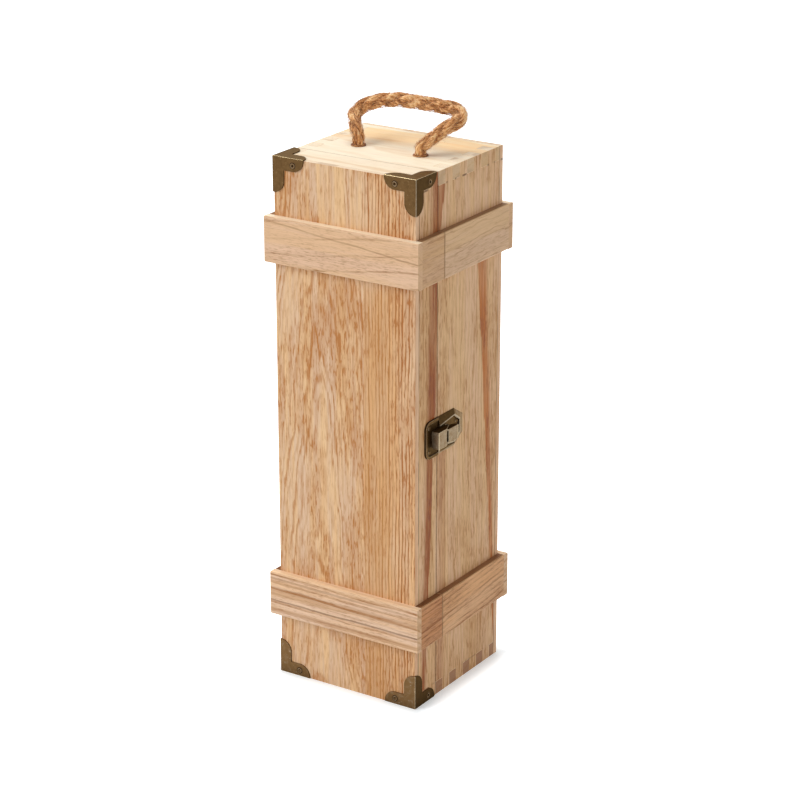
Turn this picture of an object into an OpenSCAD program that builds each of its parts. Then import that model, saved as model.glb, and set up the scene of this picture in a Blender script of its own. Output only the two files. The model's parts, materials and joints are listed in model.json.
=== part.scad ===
// Upright box for one wine bottle: finger-jointed frame sawn into a lid and a tray,
// two strap bands, brass corners, a toggle latch, two hinges and a rope handle.
// Millimetres. +Z up, origin at the middle of the underside. The lid is at -Y, the latch at +X.

/* [Box] */
// Width over the side boards
box_w = 104; // [90:1:140]
// Depth over the two panels, lid closed
box_d = 101; // [90:1:140]
// Height over the end boards
box_h = 350; // [300:1:420]
// Thickness of the side and end boards
board_t = 9; // [7:0.5:12]
// Thickness of the front and back panels
panel_t = 4; // [3:0.5:6]
// Depth of the lid, from the front to the saw cut
lid_d = 25; // [24:0.5:40]
// Width of the saw cut between lid and tray
seam_gap = 0.4; // [0.2:0.1:1]
// Width of the wider of the two boards glued up into each panel
wide_board_w = 66; // [50:1:76]

/* [Finger joints] */
// Width of one finger
finger_w = 8.3; // [6:0.1:12]

/* [Bands] */
// Height of a band
band_h = 30; // [24:1:40]
// Thickness of a band
band_t = 5; // [4:0.5:8]
// Underside of the lower band above the underside of the box
band_low = 42; // [30:1:60]
// Top of the upper band below the top of the box
band_drop = 37.5; // [30:0.5:60]
// Eased edge along the outer corners of a band
band_ease = 0.6; // [0.2:0.1:1.5]

/* [Corner protectors] */
// Length of each arm
cap_arm = 22.5; // [20:0.5:24]
// Width of each arm on each face
cap_w = 7.8; // [7:0.2:10]
// Sheet thickness
cap_t = 0.7; // [0.5:0.1:1.2]
// Nail distance from the corner, along the arm
cap_nail_along = 14.6; // [12:0.2:16]
// Nail distance from the edge
cap_nail_in = 4; // [3:0.1:5]

/* [Nails] */
// Shank diameter
nail_d = 1.2; // [0.8:0.1:1.6]
// Head diameter
nail_head_d = 2.6; // [2:0.1:3.4]
// Head height
nail_head_h = 0.6; // [0.4:0.1:1]
// Length under the head
nail_l = 8; // [6:0.5:8.5]

/* [Hinges] */
// Height of a hinge along its pin
hinge_h = 22; // [18:1:23]
// Width of one leaf, from the pin
leaf_w = 17; // [14:0.5:20]
// Sheet thickness of a leaf
leaf_t = 0.9; // [0.7:0.1:1.2]
// Outer diameter of the knuckles
knuckle_d = 4.2; // [3.8:0.1:5]
// Number of knuckles on a hinge
knuckles = 5; // [3:2:7]
// Pin diameter
hinge_pin_d = 2; // [1.6:0.1:2.4]
// Radial play between the pin and the knuckles
hinge_play = 0.05; // [0.03:0.01:0.1]
// Gap between neighbouring knuckles
knuckle_gap = 0.2; // [0.1:0.05:0.4]
// Screw shank diameter
screw_d = 2.2; // [1.8:0.1:2.6]
// Screw head diameter
screw_head_d = 4.6; // [4:0.1:5]
// Screw length under the head
screw_l = 9; // [7:0.5:10]
// Distance between the two screws of a leaf
screw_pitch = 13; // [10:0.5:14]

/* [Latch] */
// Height of the latch centre above the underside
latch_z = 179.6; // [120:0.2:230]
// Height of both latch plates
latch_h = 25; // [22:0.5:28]
// Length of the catch plate, from the seam
catch_l = 14.8; // [14:0.2:18]
// Length of the base plate, from the seam
base_l = 29.6; // [28:0.2:34]
// Sheet thickness of the latch parts
latch_t = 0.8; // [0.6:0.1:1]
// Height of the pressed ridge round the base plate
ridge_h = 2; // [1.4:0.1:2.6]
// Length of the bevelled corners of the base plate
base_bevel = 10.5; // [8:0.5:12]
// Height of the bevelled corners of the base plate
base_bevel_h = 6.5; // [5:0.1:7]
// Width of the lever over its cheeks
lever_w = 9.2; // [8:0.1:10]
// Free end of the lever, from the seam
lever_end = 14.2; // [13.4:0.2:18]
// Outer face of the lever and the bow above the wood
lever_rise = 7; // [6.6:0.1:8]
// Hooked end of the bow, past the seam
bow_reach = 8.5; // [8.2:0.1:9]
// Play between latch parts that turn past each other
latch_play = 0.25; // [0.15:0.05:0.4]
// Diameter of the pin through the ears and the lever
pivot_d = 1.6; // [1.2:0.1:2]
// Diameter of the pin that carries the bow
bow_pin_d = 1.5; // [1.2:0.1:1.8]

/* [Rope handle] */
// Rope diameter
rope_d = 9; // [7:0.2:10]
// Distance between the two rope holes
rope_span = 46; // [40:1:60]
// Diametral play of the rope in its holes
rope_play = 0.6; // [0.4:0.1:1.2]
// Diameter of the knot inside the box
knot_d = 18; // [16:0.5:20]
// Height of the knot
knot_h = 14; // [12:0.5:18]
// Loose tail under the knot
knot_tail = 9; // [6:0.5:14]

/* [Hidden] */
$fn = 48;
eps = 1;                                   // overshoot of a cutting solid

front_y = -box_d / 2;
back_y = box_d / 2;
seam_y = front_y + lid_d;
lid_edge_y = seam_y - seam_gap / 2;        // rear edge of the lid
tray_edge_y = seam_y + seam_gap / 2;       // front edge of the tray
frame_front_y = front_y + panel_t;
frame_back_y = back_y - panel_t;
side_x = box_w / 2;                        // outer face of the right side board
band_z = [band_low, box_h - band_drop - band_h];
band_face_x = side_x + band_t;

// Fingers are laid out from the seam, so the saw cut runs along a finger's edge
finger_pitch = 2 * finger_w;
first_finger = -ceil(lid_d / finger_pitch);
last_finger = ceil((box_d - lid_d) / finger_pitch);

nail_r = nail_d / 2;
screw_r = screw_d / 2;
hole_play = 0.02;                          // radial play of nails and screws in their holes

knuckle_r = knuckle_d / 2;
knuckle_clear = 0.15;                      // knuckles stand this far off the wood
hinge_x = -(band_face_x + knuckle_r + knuckle_clear);
hinge_z = [for (z = band_z) z + band_h / 2];
leaf_face_x = knuckle_r + knuckle_clear - leaf_t;  // outer face of a leaf, from the pin
pin_head_r = 1.6;
pin_head_h = 0.8;
screw_head_h = 1.1;
screw_slot = 0.5;                          // width and depth of the screw's slot
leaf_from_knuckle = 0.4;                   // gap between a leaf and the other leaf's knuckles
screw_from_pin = 11;                       // screw line of a leaf, from the pin

catch_corner_r = 5;
catch_gap = 0.5;                           // catch plate stops this short of the seam
catch_rim = 1.8;                           // width of the catch plate's raised rim
catch_rim_h = 0.7;                         // height of that rim above the plate
riser_w = 8.4;                             // width of the hook lanced out of the catch plate
riser_h = 4.6;                             // top of the hook above the wood
base_edge = 0.4;                           // thickness of the base plate at its outer edge
ridge_w = 0.9;                             // width of the ridge
ridge_in = [5.5, 3.1];                     // ridge inset from the plate's top edge, at its two ends
ridge_end = 5.1;                           // ridge inset from the far end
ridge_bevel = [6.5, 4.5];                  // bevelled corners of the ridge: along it and up it
ear_t = 0.8;
ear_x = 2.6;                               // middle of an ear from the middle of the latch
pivot = [3.2, 2.6];                        // pin of the lever: height above the wood, distance from the seam
bow_pivot = [2.7, 7];                      // pin of the bow, in the same terms
hub_r = 1.9;                               // round ends of the lever's cheeks at its pin
bow_hub_r = 1.6;                           // round ends at the bow's pin
slot = [0.6, 2.9];                         // open slot between the bow and the lever
lever_lift = 3;                            // how far the cheeks' lower edge climbs to the free end
lip_h = 0.2;                               // thumb lip at the lever's free end
bow_w = lever_w + 2 * (latch_play + latch_t);
bow_foot = 1.7;                            // lower edge of the bow above the wood

rope_r = rope_d / 2;
rope_hole_r = (rope_d + rope_play) / 2;
rope_stub = 0.2;                           // the rope's end pieces stop this far above the board
knot_seat = 0.4;                           // the knot is drawn this far into its hole
rope_lean = [0, 0.73, -0.68];              // square to the plane in which the handle lies
rope_sides = 12;
// Route of the handle's middle line above the top of the box, from the left hole to the right one
rope_route = [
    [-23, 0, 5], [-25.5, 1.5, 9.5], [-30, 6, 13.5], [-33, 11.5, 17], [-30.5, 16.5, 20.5],
    [-25.5, 18.5, 23], [-19.5, 20, 25], [-13, 21, 26], [-6.5, 21.5, 27], [0, 21.5, 27],
    [6.5, 21.5, 27], [13, 21.5, 27], [19.5, 21.5, 27], [26.5, 22, 26.5], [33.5, 22.5, 26],
    [39.5, 20.5, 24], [41, 15.5, 21], [37.5, 11, 18.5], [33, 9, 15], [29, 6, 11.5],
    [26, 2.5, 8], [23, 0, 5]];

pine = "#dcb27e";
pine_band = "#cfa27b";
old_brass = "#5c4627";
jute = "#b88d5c";

// ---------- fasteners ----------

// Round-headed nail, its head standing on z = 0 and its shank below
module nail() {
    translate([0, 0, -nail_l]) cylinder(r = nail_r, h = nail_l);
    rotate_extrude() polygon([
        [0, 0], [nail_head_d / 2, 0], [nail_head_d / 2, nail_head_h * 0.35],
        [nail_head_d * 0.34, nail_head_h * 0.85], [0, nail_head_h]]);
}

module nail_hole() {
    translate([0, 0, -nail_l]) cylinder(r = nail_r + hole_play, h = nail_l + eps);
}

// Slotted round-headed screw, placed as the nail is
module screw() {
    difference() {
        union() {
            translate([0, 0, -screw_l]) cylinder(r = screw_r, h = screw_l);
            rotate_extrude() polygon([
                [0, 0], [screw_head_d / 2, 0], [screw_head_d / 2, screw_head_h * 0.3],
                [screw_head_d * 0.34, screw_head_h * 0.85], [0, screw_head_h]]);
        }
        translate([-screw_head_d, -screw_slot / 2, screw_head_h - screw_slot])
            cube([2 * screw_head_d, screw_slot, screw_slot + eps]);
    }
}

module screw_hole() {
    translate([0, 0, -screw_l]) cylinder(r = screw_r + hole_play, h = screw_l + eps);
}

// ---------- corner protectors ----------

// Moves a corner drawn at the origin, with the box towards +X +Y +Z, to a front corner
module at_corner(right, top) {
    translate([right * side_x, front_y, top > 0 ? box_h : cap_t])
        mirror([max(right, 0), 0, 0]) mirror([0, 0, max(top, 0)]) children();
}

module cap_arm_outline() {
    translate([-cap_t, -cap_t]) square([cap_arm - cap_w + cap_t, cap_w + cap_t]);
    intersection() {
        translate([cap_arm - cap_w, 0]) circle(r = cap_w);
        translate([cap_arm - cap_w, -cap_t]) square([cap_w, cap_w + cap_t]);
    }
}

// One L-shaped flange of a protector
module cap_flange_outline() {
    cap_arm_outline();
    mirror([1, -1, 0]) cap_arm_outline();
}

module cap_nail_places() {
    translate([cap_nail_along, -cap_t, cap_nail_in]) rotate([90, 0, 0]) children();
    translate([-cap_t, cap_nail_along, cap_nail_in]) rotate([0, -90, 0]) children();
}

module corner_cap(right, top) {
    color(old_brass) at_corner(right, top) difference() {
        union() {
            translate([0, 0, -cap_t]) linear_extrude(cap_t) cap_flange_outline();
            rotate([90, 0, 0]) linear_extrude(cap_t) cap_flange_outline();
            rotate([0, -90, 0]) linear_extrude(cap_t) cap_flange_outline();
        }
        cap_nail_places() nail_hole();
    }
}

module every_corner() {
    for (right = [-1, 1], top = [-1, 1]) at_corner(right, top) children();
}

// Shallow pockets that let the two lower protectors lie flush with the underside
module foot_pockets() {
    for (right = [-1, 1]) at_corner(right, -1)
        translate([0, 0, -cap_t - eps]) linear_extrude(cap_t + eps) cap_flange_outline();
}

module corner_cuts() {
    foot_pockets();
    every_corner() cap_nail_places() nail_hole();
}

module corner_nails() {
    color(old_brass) every_corner() cap_nail_places() nail();
}

// ---------- boards of the frame ----------

// Near side of the k-th finger of an end board
function finger_y(k) = seam_y + k * finger_pitch;

// Side board from y0 to y1, notched at both ends for the fingers of the end boards
module side_board(right, y0, y1) {
    x0 = right > 0 ? side_x - board_t : -side_x;
    difference() {
        translate([x0, y0, 0]) cube([board_t, y1 - y0, box_h]);
        for (k = [first_finger : last_finger], z = [-eps, box_h - board_t])
            translate([x0 - eps, finger_y(k), z])
                cube([board_t + 2 * eps, finger_w, board_t + eps]);
    }
}

// End board from y0 to y1, notched at both sides for the fingers of the side boards
module end_board(z0, y0, y1) {
    difference() {
        translate([-side_x, y0, z0]) cube([box_w, y1 - y0, board_t]);
        for (k = [first_finger - 1 : last_finger], x = [-side_x - eps, side_x - board_t])
            translate([x, finger_y(k) + finger_w, z0 - eps])
                cube([board_t + eps, finger_w, board_t + 2 * eps]);
    }
}

module lid_side(right) {
    color(pine) difference() {
        side_board(right, frame_front_y, lid_edge_y);
        corner_cuts();
        if (right > 0) catch_nail_places() nail_hole();
        else hinge_screw_places(-1) screw_hole();
    }
}

module lid_end(z0) {
    color(pine) difference() {
        end_board(z0, frame_front_y, lid_edge_y);
        corner_cuts();
    }
}

module tray_side(right) {
    color(pine) difference() {
        side_board(right, tray_edge_y, frame_back_y);
        if (right > 0) base_nail_places() nail_hole();
        else hinge_screw_places(1) screw_hole();
    }
}

module tray_bottom_end() {
    color(pine) end_board(0, tray_edge_y, frame_back_y);
}

module tray_top_end() {
    color(pine) difference() {
        end_board(box_h - board_t, tray_edge_y, frame_back_y);
        for (side = [-1, 1]) translate([side * rope_span / 2, 0, box_h - board_t - eps])
            cylinder(r = rope_hole_r, h = board_t + 2 * eps);
    }
}

// ---------- front and back panels, each glued up from two boards ----------

module panel_board(x0, width, y0) {
    translate([x0, y0, 0]) cube([width, panel_t, box_h]);
}

module lid_panel_wide() {
    color(pine) difference() {
        panel_board(-side_x, wide_board_w, front_y);
        corner_cuts();
    }
}

module lid_panel_narrow() {
    color(pine) difference() {
        panel_board(-side_x + wide_board_w, box_w - wide_board_w, front_y);
        corner_cuts();
    }
}

module tray_panel_wide() {
    color(pine) panel_board(side_x - wide_board_w, wide_board_w, frame_back_y);
}

module tray_panel_narrow() {
    color(pine) panel_board(-side_x, box_w - wide_board_w, frame_back_y);
}

// ---------- bands ----------

// Section of a band: inner face on x = 0, underside on y = 0
module band_section() {
    polygon([
        [0, 0], [band_t - band_ease, 0], [band_t, band_ease],
        [band_t, band_h - band_ease], [band_t - band_ease, band_h], [0, band_h]]);
}

// Strip across the front or the back, running over the ends of the side strips
module cross_band(back, level) {
    color(pine_band)
        translate([-band_face_x, back > 0 ? back_y : front_y, band_z[level]])
            mirror([0, back > 0 ? 0 : 1, 0]) rotate([90, 0, 90])
                linear_extrude(2 * band_face_x) band_section();
}

// Strip along a side, from y0 to y1
module side_band(right, level, y0, y1) {
    color(pine_band) difference() {
        mirror([right > 0 ? 0 : 1, 0, 0]) translate([side_x, y1, band_z[level]])
            rotate([90, 0, 0]) linear_extrude(y1 - y0) band_section();
        if (right < 0) for (side = [-1, 1]) hinge_screw_places(side) screw_hole();
    }
}

// ---------- hinges ----------

module at_hinge(level) {
    translate([hinge_x, seam_y, hinge_z[level]]) children();
}

// The screws of both hinges in the lid's leaves (side = -1) or the tray's (side = 1)
module hinge_screw_places(side) {
    for (level = [0, 1], row = [-1, 1]) at_hinge(level)
        translate([leaf_face_x, side * screw_from_pin, row * screw_pitch / 2])
            rotate([0, -90, 0]) children();
}

function knuckle_z(i) = (i / knuckles - 0.5) * hinge_h;

module leaf_outline(side) {
    corner = 2;
    reach = leaf_w - corner;
    translate([side > 0 ? 0 : -reach, -hinge_h / 2]) square([reach, hinge_h]);
    translate([side > 0 ? reach : -leaf_w, corner - hinge_h / 2]) square([corner, hinge_h - 2 * corner]);
    for (end = [-1, 1]) translate([side * reach, end * (hinge_h / 2 - corner)]) circle(r = corner);
}

// One leaf of a hinge: the tray's leaf has the even knuckles, the lid's has the odd ones
module hinge_leaf(level, side) {
    color(old_brass) difference() {
        at_hinge(level) difference() {
            union() {
                translate([leaf_face_x, 0, 0]) rotate([90, 0, 90])
                    linear_extrude(leaf_t) leaf_outline(side);
                for (i = [side > 0 ? 0 : 1 : 2 : knuckles - 1])
                    translate([0, 0, knuckle_z(i) + knuckle_gap / 2])
                        cylinder(r = knuckle_r, h = hinge_h / knuckles - knuckle_gap);
            }
            for (i = [side > 0 ? 1 : 0 : 2 : knuckles - 1])
                translate([-knuckle_r - eps, -knuckle_r - leaf_from_knuckle, knuckle_z(i)])
                    cube([2 * (knuckle_r + eps), 2 * (knuckle_r + leaf_from_knuckle), hinge_h / knuckles]);
            cylinder(r = hinge_pin_d / 2 + hinge_play, h = hinge_h + 2 * eps, center = true);
        }
        hinge_screw_places(side) screw_hole();
    }
}

module hinge_pin(level) {
    color(old_brass) at_hinge(level) {
        cylinder(r = hinge_pin_d / 2, h = hinge_h + 2 * pin_head_h, center = true);
        for (end = [-1, 1]) translate([0, 0, end * (hinge_h + pin_head_h) / 2])
            cylinder(r = pin_head_r, h = pin_head_h, center = true);
    }
}

module hinge_screws(side) {
    color(old_brass) hinge_screw_places(side) screw();
}

// ---------- latch ----------

// Latch parts are drawn with +X out of the wood, +Y away from the seam and +Z up
module at_latch() {
    translate([side_x, seam_y, latch_z]) children();
}

// Stands a flat outline, drawn as distance from the seam and height, off the wood
module latch_sheet(from, to) {
    translate([from, 0, 0]) rotate([90, 0, 90]) linear_extrude(to - from) children();
}

// Stretches a section, drawn as height above the wood and distance from the seam, up and down
module latch_bar(middle, width) {
    translate([0, 0, middle - width / 2]) linear_extrude(width) children();
}

module catch_outline(inset) {
    r = catch_corner_r - inset;
    half = latch_h / 2 - inset;
    left = -catch_l + inset;
    translate([left + r, -half]) square([-catch_gap - left - r, 2 * half]);
    translate([left, -half + r]) square([r, 2 * (half - r)]);
    for (end = [-1, 1]) translate([left + r, end * (half - r)]) circle(r = r);
}

module catch_nail_places() {
    for (end = [-1, 1]) at_latch()
        translate([latch_t, -catch_l + catch_corner_r - 0.5, end * (latch_h / 2 - catch_corner_r + 0.5)])
            rotate([0, 90, 0]) children();
}

module catch_plate() {
    riser_y = -(bow_reach - latch_t - latch_play);
    color(old_brass) difference() {
        at_latch() {
            difference() {
                latch_sheet(0, latch_t) catch_outline(0);
                latch_sheet(-eps, latch_t + eps) translate([riser_y + latch_t, -riser_w / 2])
                    square([riser_h - latch_t, riser_w]);
            }
            latch_sheet(0, latch_t + catch_rim_h) difference() {
                catch_outline(0);
                translate([0.01, 0]) catch_outline(catch_rim);
            }
            latch_bar(0, riser_w) translate([0, riser_y]) square([riser_h, latch_t]);
        }
        catch_nail_places() nail_hole();
    }
}

// Half-widths and stations of the base plate's outer edge and of its ridge
function base_outline() = [
    [catch_gap, -latch_h / 2], [base_l - base_bevel, -latch_h / 2],
    [base_l, -latch_h / 2 + base_bevel_h], [base_l, latch_h / 2 - base_bevel_h],
    [base_l - base_bevel, latch_h / 2], [catch_gap, latch_h / 2]];

function ridge_outline(inset, start) = let(
        near = latch_h / 2 - ridge_in[0] - inset,
        far = latch_h / 2 - ridge_in[1] - inset,
        end = base_l - ridge_end - inset)
    [[start, -near], [end - ridge_bevel[0], -far], [end, -far + ridge_bevel[1]],
     [end, far - ridge_bevel[1]], [end - ridge_bevel[0], far], [start, near]];

module base_nail_places() {
    for (end = [-1, 1]) at_latch()
        translate([latch_t, base_l - ridge_end - 2.9, end * 3.6]) rotate([0, 90, 0]) children();
}

module latch_base() {
    color(old_brass) difference() {
        at_latch() {
            difference() {
                hull() {
                    latch_sheet(0, base_edge) polygon(base_outline());
                    latch_sheet(ridge_h - base_edge, ridge_h) polygon(ridge_outline(0, catch_gap));
                }
                latch_sheet(latch_t, ridge_h + eps) polygon(ridge_outline(ridge_w, -eps));
            }
            for (end = [-1, 1]) latch_bar(end * ear_x, ear_t) difference() {
                union() {
                    translate(pivot) circle(r = hub_r - latch_play);
                    translate([latch_t / 2, pivot[1] - hub_r + latch_play])
                        square([pivot[0] - latch_t / 2, 2 * (hub_r - latch_play)]);
                }
                translate(pivot) circle(r = pivot_d / 2 + hole_play);
            }
        }
        base_nail_places() nail_hole();
    }
}

module latch_nails() {
    color(old_brass) base_nail_places() nail();
}

module catch_nails() {
    color(old_brass) catch_nail_places() nail();
}

module latch_pivot_pin() {
    color(old_brass) at_latch() translate([pivot[0], pivot[1], 0])
        cylinder(r = pivot_d / 2, h = lever_w - 0.1, center = true);
}

// Side view of one cheek of the lever
module cheek_section() {
    difference() {
        union() {
            translate(pivot) circle(r = hub_r);
            translate(bow_pivot) circle(r = bow_hub_r);
            polygon([
                [pivot[0], pivot[1] - hub_r], [lever_rise, slot[1]], [lever_rise, lever_end],
                [pivot[0] - hub_r + lever_lift, lever_end],
                [bow_pivot[0] - bow_hub_r, bow_pivot[1]], [pivot[0] - hub_r, pivot[1]]]);
        }
        translate(pivot) circle(r = pivot_d / 2 + hinge_play);
        translate(bow_pivot) circle(r = bow_pin_d / 2 + hole_play);
    }
}

module latch_lever() {
    color(old_brass) at_latch() {
        for (end = [-1, 1]) latch_bar(end * (lever_w - latch_t) / 2, latch_t) cheek_section();
        latch_bar(0, lever_w) translate([lever_rise - latch_t, slot[1]])
            square([latch_t, lever_end - slot[1]]);
        latch_bar(0, lever_w) translate([lever_rise - latch_t, lever_end - latch_t])
            square([latch_t + lip_h, latch_t]);
    }
}

module bow_pin() {
    color(old_brass) at_latch() translate([bow_pivot[0], bow_pivot[1], 0])
        cylinder(r = bow_pin_d / 2, h = bow_w - 0.1, center = true);
}

// Side view of one arm of the bow, from its hooked end to its pin
module bow_section() {
    difference() {
        union() {
            translate(bow_pivot) circle(r = bow_hub_r);
            polygon([
                [bow_foot, -bow_reach], [lever_rise, -bow_reach], [lever_rise, slot[0]],
                bow_pivot + bow_hub_r * [0.6, 0.8], bow_pivot - bow_hub_r * [0.62, 0.1],
                [bow_foot, 0]]);
        }
        translate(bow_pivot) circle(r = bow_pin_d / 2 + hinge_play);
    }
}

module latch_bow() {
    color(old_brass) at_latch() {
        for (end = [-1, 1]) latch_bar(end * (bow_w - latch_t) / 2, latch_t) bow_section();
        latch_bar(0, bow_w) translate([lever_rise - latch_t, -bow_reach])
            square([latch_t, bow_reach + slot[0]]);
        latch_bar(0, bow_w) translate([bow_foot, -bow_reach])
            square([lever_rise - bow_foot, latch_t]);
    }
}

// ---------- rope handle ----------

function unit(v) = v / norm(v);

// Point of the smooth curve through p1 and p2, between its neighbours p0 and p3
function curve_point(p0, p1, p2, p3, t) =
    p1 + (p2 - p0) * t / 2
    + (2 * p0 - 5 * p1 + 4 * p2 - p3) * t * t / 2
    + (3 * p1 - p0 - 3 * p2 + p3) * t * t * t / 2;

function smooth_path(points, steps) = let(n = len(points)) [
    for (i = [0 : n - 2], s = [0 : steps - 1])
        curve_point(points[max(i - 1, 0)], points[i], points[i + 1], points[min(i + 2, n - 1)], s / steps),
    points[n - 1]];

function heading(path, i) = let(n = len(path)) unit(path[min(i + 1, n - 1)] - path[max(i - 1, 0)]);

// Ring of points round a place on the path
function ring(place, along, radius) = let(
        across = unit(cross(along, rope_lean)),
        up = cross(across, along))
    [for (k = [0 : rope_sides - 1])
        place + radius * (cos(360 * k / rope_sides) * across + sin(360 * k / rope_sides) * up)];

// Rings of the rounded end that lies beyond a path's end
function end_rings(place, along, angles) =
    [for (a = angles) ring(place + rope_r * sin(a) * along, along, rope_r * cos(a))];

module rope_tube(path) {
    n = len(path);
    rings = concat(
        end_rings(path[0], heading(path, 0), [-75, -50, -25]),
        [for (i = [0 : n - 1]) ring(path[i], heading(path, i), rope_r)],
        end_rings(path[n - 1], heading(path, n - 1), [25, 50, 75]));
    last = len(rings) - 1;
    polyhedron(
        points = [for (r = rings, p = r) p],
        faces = concat(
            [[for (k = [0 : rope_sides - 1]) k]],
            [for (i = [0 : last - 1], k = [0 : rope_sides - 1]) let(
                    here = i * rope_sides,
                    next = here + rope_sides,
                    k2 = (k + 1) % rope_sides)
                [here + k, next + k, next + k2, here + k2]],
            [[for (k = [0 : rope_sides - 1]) last * rope_sides + rope_sides - 1 - k]]));
}

module rope_handle() {
    color(jute) translate([0, 0, box_h]) rope_tube(smooth_path(rope_route, 2));
}

// Stub of the rope in its hole, with the knot under the board and the tail below it
module rope_end(side) {
    knot_r = knot_h / 2;
    color(jute) translate([side * rope_span / 2, 0, box_h - board_t]) rotate_extrude() {
        translate([0, -knot_h - knot_tail]) square([rope_r, knot_h + knot_tail + board_t + rope_stub]);
        translate([0, knot_seat - knot_h]) square([knot_d / 2 - knot_r, knot_h]);
        intersection() {
            translate([knot_d / 2 - knot_r, knot_seat - knot_r]) circle(r = knot_r);
            translate([0, -knot_h]) square([knot_d, 2 * knot_h]);
        }
    }
}

// ---------- the lid ----------

lid_panel_wide();
lid_panel_narrow();
lid_side(-1);  // lid_left_side
lid_side(1);  // lid_right_side
lid_end(box_h - board_t);  // lid_top_end
lid_end(0);  // lid_bottom_end
cross_band(-1, 1);  // lid_upper_band_front
side_band(-1, 1, front_y, lid_edge_y);  // lid_upper_band_left
side_band(1, 1, front_y, lid_edge_y);  // lid_upper_band_right
cross_band(-1, 0);  // lid_lower_band_front
side_band(-1, 0, front_y, lid_edge_y);  // lid_lower_band_left
side_band(1, 0, front_y, lid_edge_y);  // lid_lower_band_right
corner_cap(-1, 1);  // corner_top_left
corner_cap(1, 1);  // corner_top_right
corner_cap(-1, -1);  // corner_bottom_left
corner_cap(1, -1);  // corner_bottom_right
corner_nails();
hinge_leaf(1, -1);  // upper_hinge_lid_leaf
hinge_leaf(0, -1);  // lower_hinge_lid_leaf
hinge_screws(-1);  // lid_hinge_screws
catch_plate();
catch_nails();

// ---------- the tray ----------

tray_panel_wide();
tray_panel_narrow();
tray_side(-1);  // tray_left_side
tray_side(1);  // tray_right_side
tray_top_end();
tray_bottom_end();
cross_band(1, 1);  // tray_upper_band_back
side_band(-1, 1, tray_edge_y, back_y);  // tray_upper_band_left
side_band(1, 1, tray_edge_y, back_y);  // tray_upper_band_right
cross_band(1, 0);  // tray_lower_band_back
side_band(-1, 0, tray_edge_y, back_y);  // tray_lower_band_left
side_band(1, 0, tray_edge_y, back_y);  // tray_lower_band_right
hinge_leaf(1, 1);  // upper_hinge_tray_leaf
hinge_leaf(0, 1);  // lower_hinge_tray_leaf
hinge_pin(1);  // upper_hinge_pin
hinge_pin(0);  // lower_hinge_pin
hinge_screws(1);  // tray_hinge_screws
latch_base();
latch_nails();
latch_pivot_pin();

// ---------- what swings on the tray ----------

latch_lever();
bow_pin();
latch_bow();
rope_handle();
rope_end(-1);  // rope_end_left
rope_end(1);  // rope_end_right
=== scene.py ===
"""Looks of the upright wine box: eased pine boards, strap bands, dark brass fittings and a jute handle."""

import json
import math
import random

import bpy
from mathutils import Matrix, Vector

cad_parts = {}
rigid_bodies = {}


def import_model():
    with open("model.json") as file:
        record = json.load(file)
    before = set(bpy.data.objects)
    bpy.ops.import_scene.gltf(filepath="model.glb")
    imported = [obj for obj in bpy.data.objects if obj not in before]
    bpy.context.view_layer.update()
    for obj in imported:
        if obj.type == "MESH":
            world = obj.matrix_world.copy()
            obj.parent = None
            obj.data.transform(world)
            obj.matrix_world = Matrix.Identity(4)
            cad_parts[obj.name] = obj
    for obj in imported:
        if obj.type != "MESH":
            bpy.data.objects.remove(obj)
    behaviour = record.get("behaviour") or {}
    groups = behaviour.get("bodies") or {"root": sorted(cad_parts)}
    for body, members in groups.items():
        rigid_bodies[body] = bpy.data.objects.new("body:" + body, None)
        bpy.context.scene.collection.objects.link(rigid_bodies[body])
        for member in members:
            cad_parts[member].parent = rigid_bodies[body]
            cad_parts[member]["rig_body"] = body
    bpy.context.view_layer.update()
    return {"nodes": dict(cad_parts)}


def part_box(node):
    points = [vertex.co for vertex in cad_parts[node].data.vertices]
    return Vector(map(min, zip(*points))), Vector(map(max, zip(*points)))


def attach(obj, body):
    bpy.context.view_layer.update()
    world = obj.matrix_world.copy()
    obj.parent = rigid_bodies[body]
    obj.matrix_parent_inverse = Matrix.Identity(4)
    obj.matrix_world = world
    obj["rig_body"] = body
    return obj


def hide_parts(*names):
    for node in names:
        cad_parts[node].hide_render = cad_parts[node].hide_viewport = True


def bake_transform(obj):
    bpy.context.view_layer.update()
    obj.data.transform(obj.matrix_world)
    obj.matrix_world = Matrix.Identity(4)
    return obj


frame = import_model()
bpy.ops.object.select_all(action="DESELECT")

MM = 0.001
X, Y, Z = Vector((1, 0, 0)), Vector((0, 1, 0)), Vector((0, 0, 1))

BOX_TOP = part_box("tray_top_end")[1].z
BOARD_T = BOX_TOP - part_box("tray_top_end")[0].z
BOX_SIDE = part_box("tray_right_side")[1].x
PANEL_IN, BOX_BACK = (corner.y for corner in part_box("tray_panel_wide"))
SEAM = (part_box("lid_right_side")[1].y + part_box("tray_right_side")[0].y) / 2


# ---------- camera ----------

VIEW_AZIMUTH = math.radians(33.07)      # round from the front towards the latch side
VIEW_ELEVATION = math.radians(20.15)
VIEW_DISTANCE = 1.7                     # metres from the aim to the lens
AIM_HEIGHT = 0.185                      # where the view is aimed, above the underside
AIM_ASIDE = 0.0066                      # and to the right of the upright axis
LENS = 119.2                            # mm on the default 36 mm sensor


def place_camera():
    back = Vector((math.sin(VIEW_AZIMUTH) * math.cos(VIEW_ELEVATION),
                   -math.cos(VIEW_AZIMUTH) * math.cos(VIEW_ELEVATION), math.sin(VIEW_ELEVATION)))
    aside = Vector((math.cos(VIEW_AZIMUTH), math.sin(VIEW_AZIMUTH), 0))
    bpy.ops.object.camera_add(location=AIM_ASIDE * aside + AIM_HEIGHT * Z + VIEW_DISTANCE * back)
    camera = bpy.context.object
    camera.name = "box_camera"
    camera.rotation_mode = "QUATERNION"
    camera.rotation_quaternion = (-back).to_track_quat("-Z", "Y")
    camera.data.lens = LENS
    camera.data.clip_start, camera.data.clip_end = 0.05, 60
    camera.select_set(False)
    bpy.context.scene.camera = camera


place_camera()


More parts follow.
